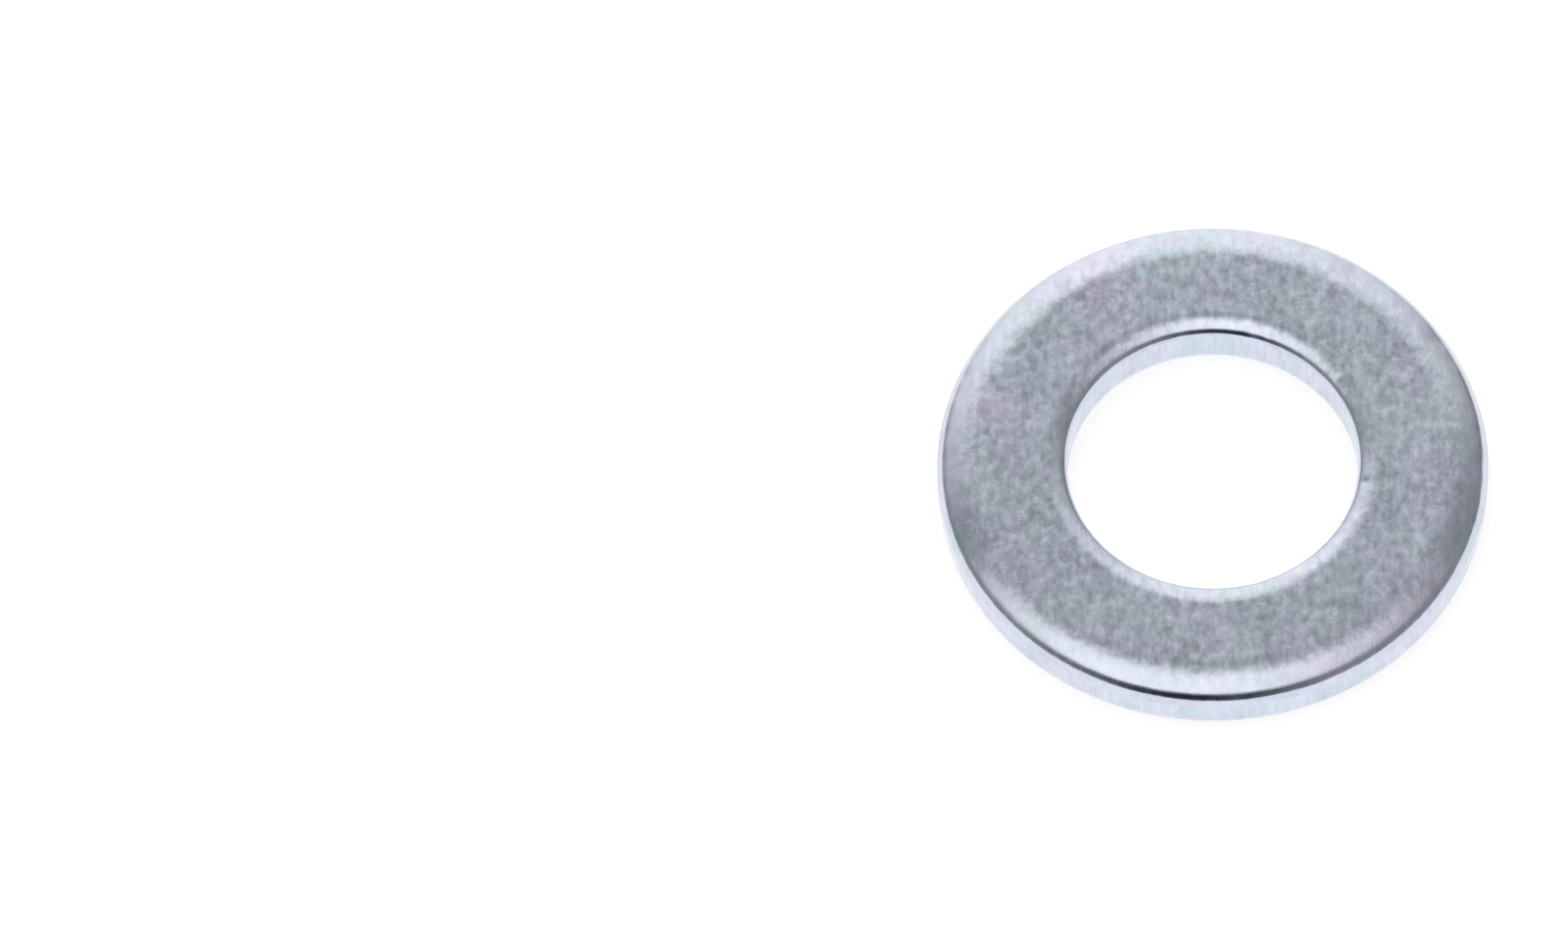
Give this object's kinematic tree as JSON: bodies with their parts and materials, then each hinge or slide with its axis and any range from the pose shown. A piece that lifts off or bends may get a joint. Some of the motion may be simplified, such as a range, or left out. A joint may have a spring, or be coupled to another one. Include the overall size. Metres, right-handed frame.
{
  "type": "flat washer",
  "caption": "Round flat washer: a thin stamped steel ring with a central bolt hole, zinc plated, with rolled edges on its upper face.",
  "frame": {"origin": "centre of the hole on the lower flat face", "axes": "+Z along the hole's axis, out of the upper face, the one with the rolled edges"},
  "size_m": [0.0198, 0.0198, 0.0019],
  "materials": {
    "zinc_plate": "barrel zinc plating with a clear blue passivate: satin, finely mottled grain, smoother and brighter on the rolled edges"
  },
  "bodies": {
    "root": {"washer": "zinc_plate"}
  },
  "joints": []
}
